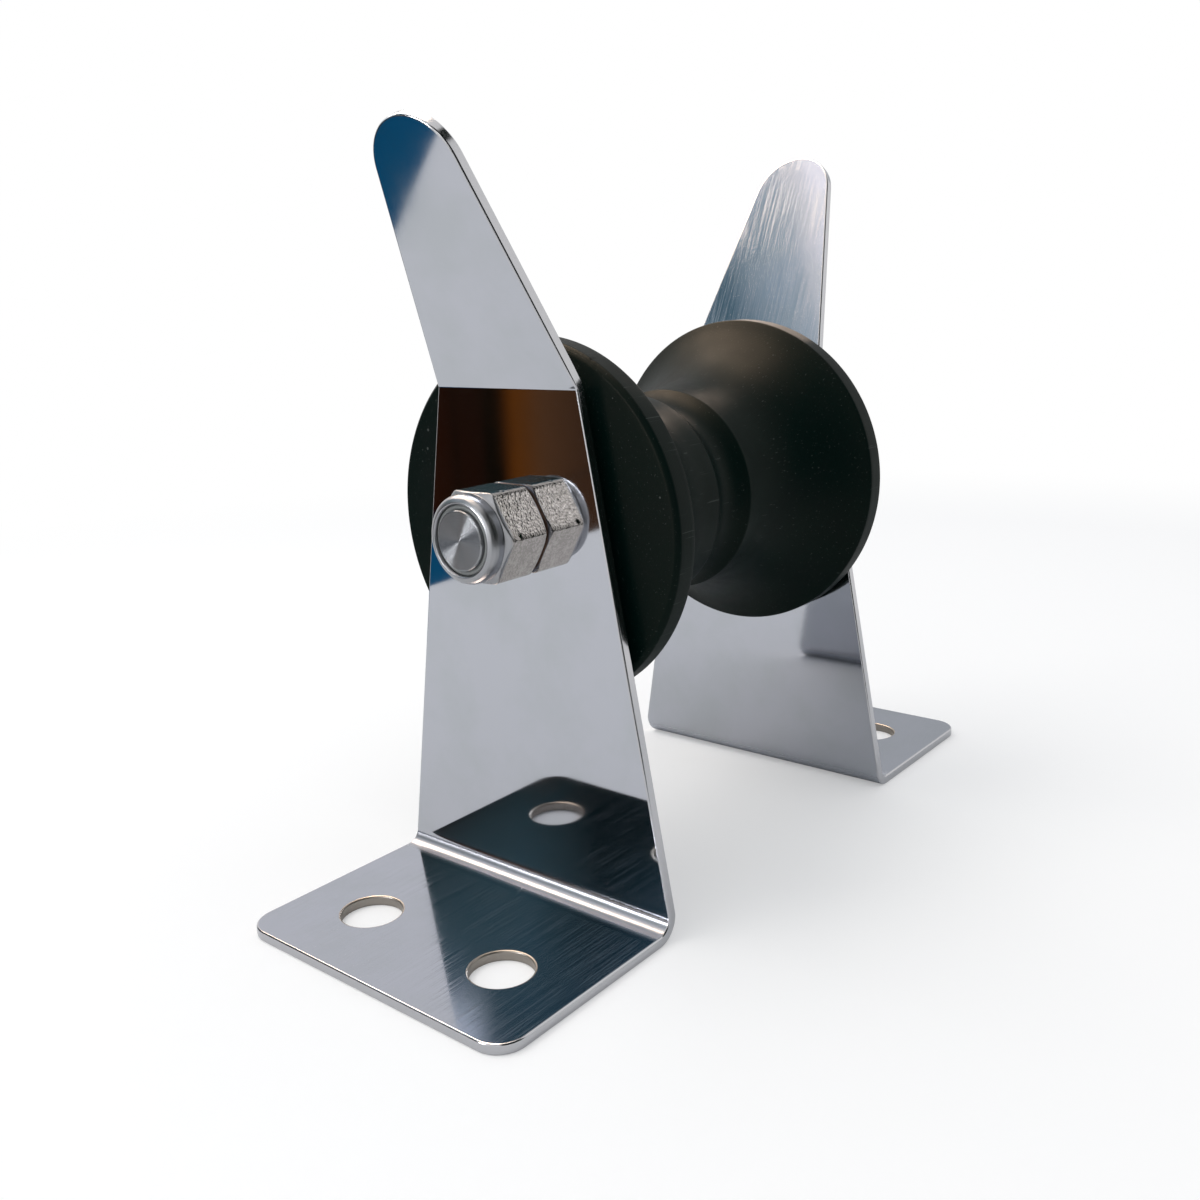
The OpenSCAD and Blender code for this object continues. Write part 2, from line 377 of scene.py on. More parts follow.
def satinPolyethylene():
    # black polyethylene bar turned to shape: satin gloss with a warm tint on its reflections that is
    # painted warm light, faint tool rings, rubbed patches, hairline scratches and specks of dust
    look = dict(colour="#011210", rubbed="#041111", dust="#5c615f", warmLightTint="#ffe6cf",
                roughness=(0.36, 0.5), ring=0.6 * mm, rub=16 * mm, grain=0.5 * mm, speck=3.5 * mm,
                hair=0.5 * mm, hairLength=30 * mm, dustiness=0.45)
    material, add = newMaterial("turnedBlackPolyethylene")
    uv = add("UVMap", uv_map="surface")
    place = add("TexCoord").outputs["Object"]
    rings = add("TexWave", {
        "Vector": uv, "Scale": oneRing / look["ring"], "Distortion": 1.5,
        "Detail Scale": 2.0}, bands_direction="Y")
    rub = add("TexNoise", {"Vector": place, "Scale": 1 / look["rub"], "Detail": 5.0, "Roughness": 0.65})
    grain = add("TexNoise", {"Vector": place, "Scale": 1 / look["grain"], "Detail": 3.0})
    specks = add("TexVoronoi", {"Vector": place, "Scale": 1 / look["speck"]})
    dustiness = add("MapRange", {"Value": rub, "From Min": 0.42, "From Max": 0.65, "To Max": 0.15})
    # dust lies on the flat ends; the turned hollow is wiped clean by the chain
    split = add("SeparateXYZ", {"Vector": place})
    out = add("Math", {0: split.outputs["Y"]}, operation="ABSOLUTE")
    ends = add("MapRange", {
        "Value": out, "From Min": rollerHalf - 2 * mm, "From Max": rollerHalf - 1 * mm, "To Min": 0.15})
    dustSize = add("Math", {0: dustiness, 1: ends}, operation="MULTIPLY")
    speckMask = add("Math", {0: specks, 1: dustSize}, operation="LESS_THAN")
    # hairline scratches: a noise drawn out to long thin threads, of which only the peaks show
    turned = add("Mapping", {
        "Vector": place, "Rotation": (0.5, 0.9, 0.3),
        "Scale": (1 / look["hair"], 1 / look["hairLength"], 1 / look["hair"])})
    threads = add("TexNoise", {"Vector": turned, "Scale": 1.0})
    hairs = add("MapRange", {"Value": threads, "From Min": 0.68, "From Max": 0.72, "To Max": 0.5})
    rubMask = add("MapRange", {"Value": rub, "From Min": 0.45, "From Max": 0.75})
    body = add("Mix", {"Factor": rubMask, "A": look["colour"], "B": look["rubbed"]}, data_type="RGBA")
    marks = add("Math", {0: speckMask, 1: hairs}, operation="MAXIMUM")
    speckMix = add("Math", {0: marks, 1: look["dustiness"]}, operation="MULTIPLY")
    dusty = add("Mix", {"Factor": speckMix, "A": body, "B": look["dust"]}, data_type="RGBA")
    rough = add("MapRange", {
        "Value": rub, "From Min": 0.3, "From Max": 0.75, "To Min": look["roughness"][0],
        "To Max": look["roughness"][1]})
    fine = add("Bump", {"Strength": 0.4, "Distance": 0.02 * mm, "Height": grain})
    tool = add("Bump", {
        "Strength": 0.35, "Distance": 0.02 * mm, "Height": rings.outputs["Fac"], "Normal": fine})
    # the warm specular tint is painted warm light on the plastic's reflections
    shader = add("BsdfPrincipled", {
        "Base Color": dusty, "Roughness": rough, "IOR": 1.2, "Specular IOR Level": 0.33,
        "Specular Tint": look["warmLightTint"], "Normal": tool})
    return finished(material, shader)


def mouldedPlastic(name, colour, worn, roughness):
    # acetal bushes and nylon inserts: an even moulded skin with a fine orange peel
    pitch = 0.7 * mm
    material, add = newMaterial(name)
    place = add("TexCoord").outputs["Object"]
    skin = add("TexNoise", {"Vector": place, "Scale": 1 / pitch, "Detail": 3.0})
    tint = add("Mix", {"Factor": skin, "A": colour, "B": worn}, data_type="RGBA")
    bump = add("Bump", {"Strength": 0.3, "Distance": 0.02 * mm, "Height": skin})
    shader = add("BsdfPrincipled", {
        "Base Color": tint, "Roughness": roughness, "IOR": 1.5, "Normal": bump})
    return finished(material, shader)


plate = mirrorStainless()
plateEdge = cutEdgeStainless("linishedEdgeStainless", "#bdbdc0", (0.12, 0.2))
# the drilled hole walls are rougher than the edge, and their darker, brownish colour is painted shade and
# reflection inside the holes
holeWall = cutEdgeStainless("drilledStainlessShaded", "#9b958e", (0.28, 0.45))
nutMetal = formedStainless()
axleMetal = turnedStainless()
washerMetal = plainStainless()
blackPlastic = satinPolyethylene()
acetal = mouldedPlastic("mouldedAcetal", "#dad8cf", "#cfccc0", 0.35)
nylon = mouldedPlastic("mouldedNylon", "#8a8d8c", "#7b7e7d", 0.4)
print("materials ready")


# brackets
bracket = dict(foot=64 * mm, baseHalf=bracketHigh.x, neckHalf=25 * mm, foldHeight=144 * mm,
               lean=math.radians(25.5), horn=57 * mm, tip=14 * mm, corner=8 * mm, bend=4 * mm,
               fold=1.5 * mm, boltHole=8.5 * mm, boltPitch=50 * mm, boltOffset=39 * mm,
               axleHole=8.1 * mm, holeMargin=20 * mm, edge=0.55 * mm, across=24,
               footBrushing=0.38, hornBrushing=0.31, outerBrushing=0.02, bendHaze=1.0,
               # where each kind of wear starts, from the bend or the fold, and how far it spreads
               footFade=(-4 * mm, 6 * mm), bendFade=(-1.5 * mm, 5 * mm), hornFade=(-30 * mm, 40 * mm))


def bracketLengths(b):
    # distances along the plate's middle at which the foot, bend, web and fold end, and how far
    # the fold's radius sets its start back from the corner
    half = plateThick / 2
    foldSet = b["fold"] * math.tan(b["lean"] / 2)
    lengths = [b["foot"] - b["bend"], (b["bend"] + half) * math.pi / 2,
               b["foldHeight"] - foldSet - plateThick - b["bend"], (b["fold"] + half) * b["lean"]]
    return np.cumsum(lengths), foldSet


def webDistance(b, z):
    # distance along the plate's middle at height z of the upright web
    return bracketLengths(b)[0][1] + z - plateThick - b["bend"]


def platePath(b, s):
    # the plate's middle line in the (y, z) plane and its direction at each distance s:
    # foot, quarter bend, upright web, fold by the lean angle, straight horn
    half = plateThick / 2
    (footEnd, bendEnd, webEnd, foldEnd), _ = bracketLengths(b)
    bendAngle = np.clip((s - footEnd) / (b["bend"] + half), 0, np.pi / 2)
    foldAngle = np.clip((s - webEnd) / (b["fold"] + half), 0, b["lean"])
    heading = bendAngle + foldAngle
    flat = np.minimum(s, footEnd)
    upright = np.clip(s - bendEnd, 0, webEnd - bendEnd)
    beyond = np.maximum(s - foldEnd, 0)
    bendMid, foldMid = b["bend"] + half, b["fold"] + half
    y = (webOut + b["foot"] - flat - bendMid * np.sin(bendAngle)
         + foldMid * (1 - np.cos(foldAngle)) + beyond * np.sin(foldAngle))
    z = (half + bendMid * (1 - np.cos(bendAngle)) + upright
         + foldMid * np.sin(foldAngle) + beyond * np.cos(foldAngle))
    along = np.stack([-np.cos(heading), np.sin(heading)], -1)
    return y, z, along


def onPlate(b, x, s, depth, side):
    # point of the bent plate: across x, along s, depth from the middle towards the outer face
    y, z, along = platePath(b, s)
    return spread(x, side * (y + depth * along[..., 1]), z - depth * along[..., 0])


def plateNormal(b, s, nx, ns, nd, side):
    # a direction on the flat blank carried onto the bent plate: nx across + ns times the plate's
    # own direction at s + nd times the direction square to its face
    _, _, along = platePath(b, s)
    y = ns * along[..., 0] + nd * along[..., 1]
    z = ns * along[..., 1] - nd * along[..., 0]
    return spread(nx, side * y, z)


def plateSide(b):
    # one long edge of the flat blank from the foot's end to the tip: (x, s) and outward (nx, ns),
    # with the number of the row where the bend starts and those below and above the axle's hole
    (footEnd, bendEnd, webEnd, foldEnd), foldSet = bracketLengths(b)
    base, neck = b["baseHalf"], b["neckHalf"]
    tipCentre = foldEnd + b["horn"] - foldSet
    gap = math.hypot(neck, tipCentre - foldEnd)
    touch = math.acos(b["tip"] / gap) - math.atan2(tipCentre - foldEnd, neck)
    low = webDistance(b, axleHeight - b["holeMargin"])
    high = webDistance(b, axleHeight + b["holeMargin"])

    def halfWidth(s):
        # the web tapers evenly from the bend to the fold
        return base + (neck - base) * (s - bendEnd) / (webEnd - bendEnd)

    corner = np.linspace(-np.pi / 2, 0, 9)
    xs = [base - b["corner"] + b["corner"] * np.cos(corner)]
    ss = [b["corner"] + b["corner"] * np.sin(corner)]
    ns = [np.stack([np.cos(corner), np.sin(corner)], -1)]
    x0, s0 = base, b["corner"]
    rows = []
    # straight runs up the edge: where each ends and its number of steps
    for x1, s1, steps in ((base, footEnd, 12), (base, bendEnd, 12), (halfWidth(low), low, 14),
                          (halfWidth(high), high, 10), (neck, webEnd, 4), (neck, foldEnd, 8),
                          (b["tip"] * math.cos(touch), tipCentre + b["tip"] * math.sin(touch), 10)):
        t = np.linspace(0, 1, steps + 1)[1:]
        xs.append(x0 + (x1 - x0) * t)
        ss.append(s0 + (s1 - s0) * t)
        ns.append(np.tile(unit(np.array([s1 - s0, x0 - x1])), (steps, 1)))
        rows.append(sum(map(len, xs)) - 1)
        x0, s0 = x1, s1
    tip = np.linspace(touch, np.pi / 2, 21)[1:]
    xs.append(b["tip"] * np.cos(tip))
    ss.append(tipCentre + b["tip"] * np.sin(tip))
    ns.append(np.stack([np.cos(tip), np.sin(tip)], -1))
    return np.concatenate(xs), np.concatenate(ss), np.concatenate(ns), (rows[0], rows[2], rows[3])


def ringPatch(centre, radius, border, steps=6):
    # rays from the hole's edge to the border: centre + ((1 - t) radius + t distance) direction
    away = border - centre
    distance = np.linalg.norm(away, axis=1)
    direction = away / distance[:, None]
    t = np.linspace(0, 1, steps + 1)[None, :, None]
    return centre + direction[:, None] * ((1 - t) * radius + t * distance[:, None, None])


def plateWear(b, s, face):
    # brushing left in the foot and the horn is above nought, the haze over the bend below it
    onFoot = 1 - np.clip((s - b["foot"] - b["footFade"][0]) / b["footFade"][1], 0, 1)
    onBend = np.exp(-((s - b["foot"] - b["bendFade"][0]) / b["bendFade"][1]) ** 4)
    hornStart = webDistance(b, b["foldHeight"] + b["hornFade"][0])
    onHorn = np.clip((s - hornStart) / b["hornFade"][1], 0, 1)
    worn = b["footBrushing"] * onFoot + b["hornBrushing" if face < 0 else "outerBrushing"] * onHorn
    return worn * (1 - onBend) - b["bendHaze"] * onBend


def edgePatch(b, spots, outward, side, closed, slot=1):
    # the rounded edge: from one face over a quarter circle, across the cut and back, which is
    # spot + edge radius * outward * sin a across the blank and edge radius * cos a off its middle
    e, half = b["edge"], plateThick / 2
    quarter = np.radians(np.linspace(0, 90, 6))
    out = np.r_[np.sin(quarter), np.sin(quarter)[::-1]]
    turn = np.r_[np.cos(quarter), -np.cos(quarter)[::-1]]
    depth = np.r_[half - e + e * np.cos(quarter), -(half - e + e * np.cos(quarter))[::-1]]
    px = spots[:, 0, None] + e * outward[:, 0, None] * out
    ps = spots[:, 1, None] + e * outward[:, 1, None] * out
    # the bend is worked out at the edge's own distance, so each rib stays square to the plate
    points = onPlate(b, px, ps, depth[None, :], side)
    normals = plateNormal(b, ps, outward[:, 0, None] * out, outward[:, 1, None] * out,
                          np.broadcast_to(turn, px.shape), side)
    uv = np.stack([px, ps + depth[None, :]], -1)
    return patch(points, normals, uv, closeRows=closed, slot=slot)


def makeBracket(name, side, node):
    b = bracket
    e, half, across = b["edge"], plateThick / 2, b["across"]
    mirrored = np.array([-1, 1])
    x, s, normal, (foot, low, high) = plateSide(b)
    xi, si = x - e * normal[:, 0], s - e * normal[:, 1]
    xi[-1] = 0
    edge = np.stack([xi, si], -1)
    v = np.linspace(-1, 1, across + 1)
    # flat regions of the blank as (x, s) grids, drawn on both faces
    rows = np.stack([xi[:, None] * v, np.repeat(si[:, None], across + 1, 1)], -1)
    # the right half of the foot, walked round: centre line, end of the foot, side, bend row
    middle = across // 2
    centreLine = np.stack([np.zeros(middle + 1), np.linspace(si[foot], si[0], middle + 1)], -1)
    border = np.concatenate([centreLine[:-1], rows[0, middle:-1], edge[:foot],
                             rows[foot, middle:][::-1][:-1]])
    boltSpot = np.array([b["boltPitch"] / 2, b["foot"] - b["boltOffset"]])
    boltRing = ringPatch(boltSpot, b["boltHole"] + e, border)
    # the web round the axle's hole, walked round in the same way
    right = edge[low:high + 1]
    border = np.concatenate([rows[low][:-1], right[:-1], rows[high][::-1][:-1],
                             (right * mirrored)[::-1][:-1]])
    axleSpot = np.array([0, webDistance(b, axleHeight)])
    axleRing = ringPatch(axleSpot, b["axleHole"] + e, border)
    patches = []
    for grid, closed in ((rows[foot:low + 1], False), (rows[high:], False), (boltRing, True),
                         (boltRing * mirrored, True), (axleRing, True)):
        along = grid[..., 1]
        for face in (1, -1):
            patches.append(patch(onPlate(b, grid[..., 0], along, face * half, side),
                                 plateNormal(b, along, 0, 0, face, side), grid, closeRows=closed,
                                 brushing=plateWear(b, along, face)))
    for spots, outward in ((edge, normal), (edge * mirrored, normal * mirrored),
                           (rows[0], np.tile([0.0, -1.0], (across + 1, 1)))):
        patches.append(edgePatch(b, spots, outward, side, False))
    for hole, centre in ((boltRing, boltSpot), (boltRing * mirrored, boltSpot * mirrored),
                         (axleRing, axleSpot)):
        rim = hole[:, 0]
        patches.append(edgePatch(b, rim, unit(centre - rim), side, True, slot=2))
    buildPiece(name, patches, [plate, plateEdge, holeWall], "frame", [node])


for side, word in hands:
    makeBracket(word + "BracketPlate", side, word + "_bracket")


# roller
roller = dict(rimWidth=6 * mm, chamfer=1.2 * mm, waist=31 * mm, waistWidth=26 * mm,
              grooveWidth=16.4 * mm, grooveDepth=3.4 * mm, bore=11 * mm,
              bushRadius=bushHigh.z - axleHeight, bushLength=bushHigh.y - bushLow.y,
              soft=0.28 * mm, step=2.2 * mm, turn=math.radians(9), sides=256,
              # each nick's angle in degrees, place along the axle, depth and width round the rim;
              # it is longer along the axle
              nickLength=1.4,
              nicks=((62.0, -54.0 * mm, 0.55 * mm, 0.7 * mm), (59.5, -54.4 * mm, 0.4 * mm, 0.5 * mm),
                     (38.0, -54.2 * mm, 0.25 * mm, 0.6 * mm), (130.0, 54.2 * mm, 0.4 * mm, 0.8 * mm),
                     (245.0, 54.3 * mm, 0.3 * mm, 0.7 * mm)))


def rollerOutline(r):
    # end face, chamfer, rim, flare arc, waist, groove arc, then the same again and back through the bore
    run = rollerHalf - r["chamfer"] - r["rimWidth"] - r["waistWidth"] / 2
    rise = rollerRadius - r["waist"]
    flare = (run * run + rise * rise) / (2 * rise)
    sweep = math.degrees(math.asin(run / flare))
    grooveR = (r["grooveWidth"] ** 2 / 4 + r["grooveDepth"] ** 2) / (2 * r["grooveDepth"])
    grooveSweep = math.degrees(math.asin(r["grooveWidth"] / 2 / grooveR))
    faceR = rollerRadius - r["chamfer"]
    edge = rollerHalf - r["chamfer"]
    outer = np.vstack([
        [[r["bushRadius"], rollerHalf], [faceR, rollerHalf], [rollerRadius, edge]],
        arcPoints((r["waist"] + flare, r["waistWidth"] / 2), flare, 180 - sweep, 180, 60),
        arcPoints((r["waist"] - r["grooveDepth"] + grooveR, 0), grooveR, 180 - grooveSweep,
                  180, 20)])
    outer = np.vstack([outer, (outer * np.array([1, -1]))[::-1][1:]])
    inner = rollerHalf - r["bushLength"]
    bore = [[r["bushRadius"], -inner], [r["bore"], -inner], [r["bore"], inner], [r["bushRadius"], inner]]
    return np.vstack([outer, bore])


def makeRoller():
    r = roller
    outline, facing, along = softOutline(rollerOutline(r), r["soft"], r["step"], r["turn"], closed=True)
    # finer steps round each nick, so that a cut a millimetre wide has its own faces
    close = np.radians(np.arange(-2.6, 2.61, 0.26))
    angles = np.unique(np.concatenate([evenAngles(r["sides"])]
                                      + [(math.radians(nick[0]) + close) % (2 * np.pi)
                                         for nick in r["nicks"]]))
    surface = turnedPatch(outline, -facing, along, angles, closed=True)
    # the surface sinks by a bell round each nick's place: depth * exp(-(distance / width) squared)
    for where, y, depth, wide in r["nicks"]:
        turn = (angles[:, None] - math.radians(where) + np.pi) % (2 * np.pi) - np.pi
        reach = (turn * rollerRadius / wide) ** 2
        reach = reach + ((outline[None, :, 1] - y) / (r["nickLength"] * wide)) ** 2
        sink = depth * np.exp(-reach) * (outline[None, :, 0] > rollerRadius - r["rimWidth"])
        surface["points"] -= sink[..., None] * surface["normals"]
    buildPiece("waistedRoller", [surface], [blackPlastic], "roller", ["roller"])


makeRoller()


# lock nuts and their inserts
nut = dict(across=24 * mm, hexHeight=14 * mm, collar=11.85 * mm, lip=9.76 * mm, bore=8.1 * mm,
           seat=0.475, roundness=30, cutSoft=0.18 * mm, soft=0.16 * mm, step=0.45 * mm,
           turn=math.radians(9), sides=288,
           # the collar's rolled top: how far in from its radius and how far below its top
           rim=((0, 2.3 * mm), (0.25 * mm, 1.3 * mm), (0.9 * mm, 0.5 * mm), (1.8 * mm, 0.05 * mm),
                (2.2 * mm, 0.02 * mm)),
           # each dent's angle in degrees, height above the web and depth, and how wide and high all are
           dents=((4, 11.2 * mm, 0.5 * mm), (182, 6.0 * mm, 0.4 * mm), (63, 9.5 * mm, 0.3 * mm)),
           dentSize=(0.55 * mm, 0.5 * mm), grimeTop=1.5 * mm)


def nutOutline(n):
    # (radius, height above the web): seat, low chamfer, six sided body, high chamfer, neck,
    # rounded collar, rolled lip, recess for the insert, threaded bore
    high = nutEnd - webOut
    point = n["across"] / math.sqrt(3)
    seat = n["seat"] * n["across"]
    slope = math.tan(math.radians(30))
    hexTop = n["hexHeight"] + 0.8 * mm
    recess = n["hexHeight"] + 1.12 * mm
    r, lip = n["collar"], n["lip"]
    cut = (point - r) * slope
    return np.array([[n["bore"], 0], [seat, 0], [point, (point - seat) * slope], [point, hexTop - cut],
                     [r, hexTop], [r - 0.3 * mm, hexTop + 0.2 * mm],
                     [r - 0.3 * mm, hexTop + 0.4 * mm], [r, hexTop + 0.6 * mm],
                     *[[r - inward, high - down] for inward, down in n["rim"]],
                     [lip - 0.5 * mm, high - 0.5 * mm], [lip - 0.5 * mm, high - 1.1 * mm],
                     [lip, high - 1.3 * mm], [lip, recess], [n["bore"], recess]])


def makeNut(name, side, node):
    # a lathe surface cut by six flats: radius = min(outline, flat distance), where the flats'
    # distance is (sum over the six sides of (cos(a - side) / half width) ** p) ** (-1 / p)
    outline, _, along = softOutline(nutOutline(nut), nut["soft"], nut["step"], nut["turn"], closed=True)
    angle = evenAngles(nut["sides"])[:, None]
    sides = np.radians(30 + 60 * np.arange(6))
    towards = np.maximum(np.cos(angle - sides), 0) / (nut["across"] / 2)
    flats = (towards ** nut["roundness"]).sum(1, keepdims=True) ** (-1 / nut["roundness"])
    radius, high = outline[None, :, 0], outline[None, :, 1]
    gap = radius - flats
    cutRadius = (radius + flats - np.sqrt(gap ** 2 + nut["cutSoft"] ** 2)) / 2
    # the softened cut only applies where the outline comes near the flats
    near = np.clip((radius - nut["collar"] + 0.03 * mm) / (0.15 * mm), 0, 1)
    cutRadius = radius * (1 - near) + cutRadius * near
    # small dents left on the corners by a spanner: the radius drops by a bell round each
    for where, height, depth in nut["dents"]:
        turn = (angle - math.radians(where) + np.pi) % (2 * np.pi) - np.pi
        wide, tall = nut["dentSize"]
        reach = (turn * radius / wide) ** 2 + ((high - height) / tall) ** 2
        cutRadius = cutRadius - depth * near * np.exp(-reach)
    points = spread(cutRadius * np.cos(angle), side * (webOut + high),
                    axleHeight + cutRadius * np.sin(angle))
    round1 = np.roll(points, -1, 0) - np.roll(points, 1, 0)
    round2 = np.roll(points, -1, 1) - np.roll(points, 1, 1)
    normals = unit(np.cross(round1, round2))
    # outward at the widest ring decides the sign for the whole closed surface
    ring = int(np.argmax(radius))
    outward = points[0, ring] * np.array([1, 0, 1]) - np.array([0, 0, axleHeight])
    if normals[0, ring] @ outward < 0:
        normals = -normals
    uv = spread(angle / (2 * np.pi), along[None, :])
    # the six sided body is pitted, the collar is smooth and the seat, below nought, is grimy
    grainy = np.clip((nut["hexHeight"] - high) / (0.8 * mm), 0, 1) * (radius > nut["collar"])
    grime = np.clip((high - nut["grimeTop"] / 2) / (0.25 * mm), -1, 1)
    grainy = np.where(high < nut["grimeTop"], grime, grainy) + 0 * angle
    buildPiece(name, [patch(points, normals, uv, True, True, brushing=grainy)], [nutMetal],
               "frame", [node])


insert = dict(outer=9.2 * mm, inner=8.03 * mm, outerDrop=0.3 * mm, innerDrop=0.25 * mm,
              soft=0.08 * mm, step=0.6 * mm, turn=math.radians(12), sides=128)


def makeInsert(name, side, node):
    # a nylon ring gripped under the lip, a little domed at its top
    n = insert
    low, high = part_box(node)
    bottom, top = (low.y, high.y) if side > 0 else (-high.y, -low.y)
    outer, inner = n["outer"], n["inner"]
    ring = [[inner, bottom], [outer, bottom], [outer, top - n["outerDrop"]],
            [(outer + inner) / 2, top], [inner, top - n["innerDrop"]]]
    outline, facing, along = softOutline(ring, n["soft"], n["step"], n["turn"], closed=True)
    outline[:, 1] *= side
    facing[:, 1] *= side
    surface = turnedPatch(outline, facing, along, evenAngles(n["sides"]), closed=True)
    buildPiece(name, [surface], [nylon], "frame", [node])


for side, word in hands:
    makeNut(word + "LockNut", side, word + "_nut")
    makeInsert(word + "NylonInsert", side, word + "_insert")


# axle
axle = dict(journal=10 * mm, thread=8 * mm, pitch=2 * mm, threadDepth=0.9 * mm, chamfer=0.3 * mm,
            soft=0.06 * mm, step=0.35 * mm, turn=math.radians(15), sides=144,
            # the thread starts past the web and ends before the axle's end, each over a short run
            threadStart=(1 * mm, 1.5 * mm), threadEnd=(2.5 * mm, 1 * mm))


def axleOutline(a):
    # half of the bar from its middle to the centre of one end
    return [[a["journal"], 0], [a["journal"], washerIn - a["chamfer"]],
            [a["journal"] - a["chamfer"], washerIn], [a["thread"], washerIn],
            [a["thread"], axleEnd - a["chamfer"]], [a["thread"] - a["chamfer"], axleEnd],
            [0.2 * mm, axleEnd]]


def makeAxle():
    a = axle
    outline, facing, along = softOutline(axleOutline(a), a["soft"], a["step"], a["turn"])
    # the blur shortens the first and last points, so they are put back on the middle and the end
    outline[0] = [a["journal"], 0]
    outline[-1] = [0, axleEnd]
    facing[-1] = [0, 1]
    facing[0] = [1, 0]
    angle = evenAngles(a["sides"])
    half = turnedPatch(outline, facing, along, angle)
    # the thread: radius drops by a rounded saw of (y / pitch - angle / 2 pi)
    angle = angle[:, None]
    radius, y = outline[None, :, 0], outline[None, :, 1]
    phase = (y / a["pitch"] - angle / (2 * np.pi)) % 1
    groove = a["threadDepth"] * (1 - np.abs(2 * phase - 1)) ** 0.8
    inside = (np.clip((y - webOut - a["threadStart"][0]) / a["threadStart"][1], 0, 1)
              * np.clip((axleEnd - a["threadEnd"][0] - y) / a["threadEnd"][1], 0, 1)
              * (np.abs(radius - a["thread"]) < 0.05 * mm))
    drop = groove * inside
    half["points"][..., 0] -= drop * np.cos(angle)
    half["points"][..., 2] -= drop * np.sin(angle)
    mirrored = np.array([1, -1, 1])
    other = patch(half["points"] * mirrored, half["normals"] * mirrored, half["uv"], closeRows=True)
    buildPiece("throughAxle", [half, other], [axleMetal], "frame", ["axle"])


makeAxle()


# the hidden CAD pieces keep their shape and get materials
for name, material in (("starboard_washer", washerMetal), ("port_washer", washerMetal),
                       ("starboard_bush", acetal), ("port_bush", acetal)):
    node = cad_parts[name]
    node.data.materials.clear()
    node.data.materials.append(material)
print("carried-over pieces dressed")


# stage
stage = dict(floor="#eeeff0", reach=6.0, fade=(0.4, 0.8), lift=0.3)
# a dark card stands at the end of the table, seen only in reflections: a blue foot, then
# brown and orange bands, then teal going up into pale sky (heights and places along y in metres)
tableCard = dict(
    near=(-0.288, -0.12), far=(-0.392, -1.02), height=0.61,
    levels=((0.0, "#125980"), (0.036, "#125980"), (0.046, "#1b120c"), (0.13, "#2a201a"),
            (0.16, "#3c5152"), (0.25, "#50757f"), (0.38, "#476a7a"), (0.5, "#5a7a89"),
            (0.54, "#a3b8c5"), (0.58, "#b4c7d3"), (0.61, "#bccdd8")),
    tealDark="#0a2023", footBrown="#4a3222", pane=(1.5, 1.6, 1.75, 1.0),
    bands=((-0.3, "#36190c"), (-0.337, "#26130a"), (-0.34, "#0c0b06"), (-0.3435, "#26130a"),
           (-0.366, "#22110a"), (-0.37, "#100e08"), (-0.385, "#0f0d08"), (-0.391, "#4a270d"),
           (-0.4, "#6d3c11"), (-0.412, "#683c18"), (-0.43, "#604029"), (-0.48, "#4a3222")),
    # each mask goes from nought to one between two places on an axis of the card
    masks=dict(bandsStart=("Z", 0.036, 0.05, "SMOOTHSTEP"), bandsEnd=("Z", 0.18, 0.15, "SMOOTHSTEP"),
               pastBlue=("Y", -0.335, -0.35, "LINEAR"), inFoot=("Z", 0.05, 0.04, "LINEAR"),
               pastTeal=("Y", -0.38, -0.47, "LINEAR"), belowSky=("Z", 0.42, 0.28, "LINEAR"),
               paneStart=("Z", 0.265, 0.315, "SMOOTHSTEP"), paneTop=("Z", 0.44, 0.4, "SMOOTHSTEP"),
               paneSide=("Y", -0.34, -0.31, "SMOOTHSTEP")))
# colour and strength of the plain cards' paints
paints = dict(darkCardPaint=("#0b1813", 1.0), windowPaint=("#fbfcff", 36.0),
              sparkCardPaint=("#ffffff", 2.4), greyCardPaint=("#c3c6ca", 1.0),
              skyCardPaint=("#f4f1f6", 1.7), wallCardPaint=("#e9eaee", 1.0),
              warmCardPaint=("#ffe6cf", 11.0), warmWallPaint=("#ffe6cf", 5.0),
              warmScreenPaint=("#ffe6cf", 15.0))
# upright cards: paint, the two ends on the floor plan, low and high edge. The axle's end sees the
# three window panes before the table card
uprightCards = dict(
    darkCard=("darkCardPaint", (0.85, -0.95), (0.85, 0.4), 0.02, 1.15),
    windowPane1=("windowPaint", (-0.35, -0.72), (-0.3, -0.84), 0.23, 0.34),
    windowPane2=("windowPaint", (-0.29, -0.87), (-0.23, -1.02), 0.23, 0.34),
    windowPane3=("windowPaint", (-0.22, -1.05), (-0.14, -1.25), 0.23, 0.34),
    greyCard=("greyCardPaint", (-1.2, 0.95), (0.1, 0.95), 0.02, 0.5),
    skyCard=("skyCardPaint", (-0.27, -0.1), (-0.34, -0.6), 0.624, 0.72),
    wallCard=("wallCardPaint", (-2.4, 1.2), (-0.6, 1.2), 0.3, 2.2),
    warmWall=("warmWallPaint", (-0.265, -0.1), (-0.33, -0.5), 0.78, 1.0),
    warmScreen=("warmScreenPaint", (-0.255, 0.14), (-0.265, -0.1), 0.42, 1.0))
# level and sloping cards: paint and corners. The nut sees a spark from the right
slopingCards = dict(
    darkCeiling=("darkCardPaint", [(0.3, -1.2, 1.0), (0.9, -1.2, 1.0), (0.9, 0.4, 1.0), (0.3, 0.4, 1.0)]),
    darkGround=("darkCardPaint", [(0.28, -1.2, 0.002), (0.85, -1.2, 0.002), (0.85, 0.2, 0.002),
                                  (0.34, 0.2, 0.002)]),
    sparkCard=("sparkCardPaint", [(0.25, -0.57, 0.4), (0.35, -0.51, 0.4), (0.39, -0.55, 0.54),
                                  (0.29, -0.61, 0.54)]),
    warmCard=("warmCardPaint", [(-1.3, -0.22, 1.0), (-0.05, -0.22, 1.0), (-0.05, 0.3, 1.0),
                                (-1.3, 0.1, 1.0)]))


